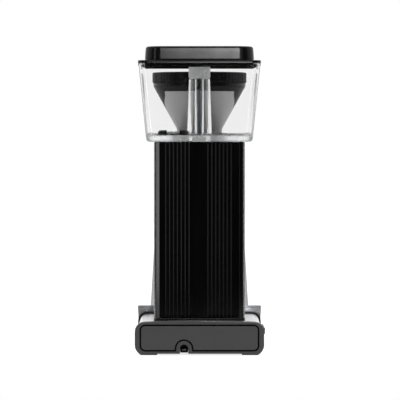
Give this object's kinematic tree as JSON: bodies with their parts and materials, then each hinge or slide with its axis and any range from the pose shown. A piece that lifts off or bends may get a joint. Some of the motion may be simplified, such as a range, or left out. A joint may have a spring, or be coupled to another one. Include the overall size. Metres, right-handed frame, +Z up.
{
  "type": "drip coffee brewer with thermal carafe",
  "caption": "Tall drip coffee brewer: clear reservoir on a column, cone brew basket, slim base and a round front platform that holds a metal thermal carafe.",
  "frame": {"origin": "on the floor, at the centre of the brewer's footprint", "axes": "+Z up, +Y towards the rear cover with the cord outlet, -Y towards the carafe handle"},
  "size_m": [0.1673, 0.3218, 0.3943],
  "materials": {
    "cover_plastic": "fine satin",
    "black_rubber": "matt",
    "polished_housing": "polished",
    "trim_black": "semi-gloss",
    "brushed_fence": "brushed",
    "black_sheet": "satin",
    "switch_plastic": "semi-gloss",
    "copper": "plain",
    "plain_steel": "plain",
    "white_ceramic": "matt",
    "silicone": "satin",
    "column_metal": "polished",
    "gloss_black": "high gloss",
    "clear_plastic": "clear",
    "clear_pipe": "clear",
    "frosted_plastic": "frosted",
    "white_plastic": "satin",
    "basket_black": "semi-gloss",
    "brushed_carafe": "brushed"
  },
  "bodies": {
    "base": {"rear_cover": "cover_plastic", "cord_gland": "black_rubber", "base_housing": "polished_housing", "front_trim": "trim_black", "carafe_fence": "brushed_fence", "platform_body": "polished_housing", "platform_plate": "black_sheet", "platform_mat": "black_rubber", "rubber_foot_left": "black_rubber", "rubber_foot_right": "black_rubber", "switch_bezel": "switch_plastic", "switch_wire": "black_rubber", "boiler_tube": "copper", "heating_element": "plain_steel", "thermostat": "white_ceramic", "thermal_fuse": "plain_steel", "terminal_block": "white_ceramic", "cold_hose": "silicone", "riser_hose": "silicone", "column_foot": "trim_black", "column_shell": "column_metal", "column_back": "gloss_black", "column_cap": "black_sheet", "basket_holder": "black_sheet", "holder_screw_left": "plain_steel", "holder_screw_right": "plain_steel", "tank": "clear_plastic", "tank_gasket": "silicone", "riser_tube": "clear_pipe", "riser_nut": "frosted_plastic", "inlet_seat": "frosted_plastic", "outlet_arm": "plain_steel", "spray_head": "plain_steel"},
    "reservoir_lid": {"tank_lid": "gloss_black"},
    "inlet_valve": {"inlet_float": "white_plastic"},
    "rocker": {"switch_rocker": "switch_plastic"},
    "basket": {"basket_body": "basket_black", "basket_rim": "basket_black", "basket_handle": "basket_black", "valve_spring": "plain_steel"},
    "drip_stop": {"drip_valve": "silicone"},
    "carafe": {"carafe_base": "black_rubber", "carafe_shell": "brushed_carafe", "carafe_liner": "brushed_carafe", "carafe_collar": "gloss_black", "carafe_handle": "gloss_black"},
    "carafe_cap": {"carafe_lid": "gloss_black", "mixing_tube": "basket_black"}
  },
  "joints": [
    {"name": "lid_lift", "type": "slide", "parent": "base", "child": "reservoir_lid", "axis": [0, 0, 1], "range_m": [0, 0.08]},
    {"name": "float_lift", "type": "slide", "parent": "base", "child": "inlet_valve", "axis": [0, 0, 1], "range_m": [0, 0.003]},
    {"name": "rocker_tilt", "type": "hinge", "parent": "base", "child": "rocker", "pos_m": [-0.0787, 0.129, 0.0285], "axis": [0, 0, 1], "range_deg": [-16, 0]},
    {"name": "basket_slide", "type": "slide", "parent": "base", "child": "basket", "axis": [0, -1, 0], "range_m": [0, 0.16]},
    {"name": "drip_stop_push", "type": "slide", "parent": "basket", "child": "drip_stop", "axis": [0, 0, 1], "range_m": [0, 0.005], "stiffness_N_per_m": 150, "springref_m": -0.004, "deforming": ["valve_spring"]},
    {"name": "carafe_slide", "type": "slide", "parent": "base", "child": "carafe", "axis": [0, -1, 0], "range_m": [0, 0.17]},
    {"name": "carafe_lid_turn", "type": "hinge", "parent": "carafe", "child": "carafe_cap", "pos_m": [0, -0.052, 0.25], "axis": [0, 0, 1], "range_deg": [0, 90]}
  ]
}
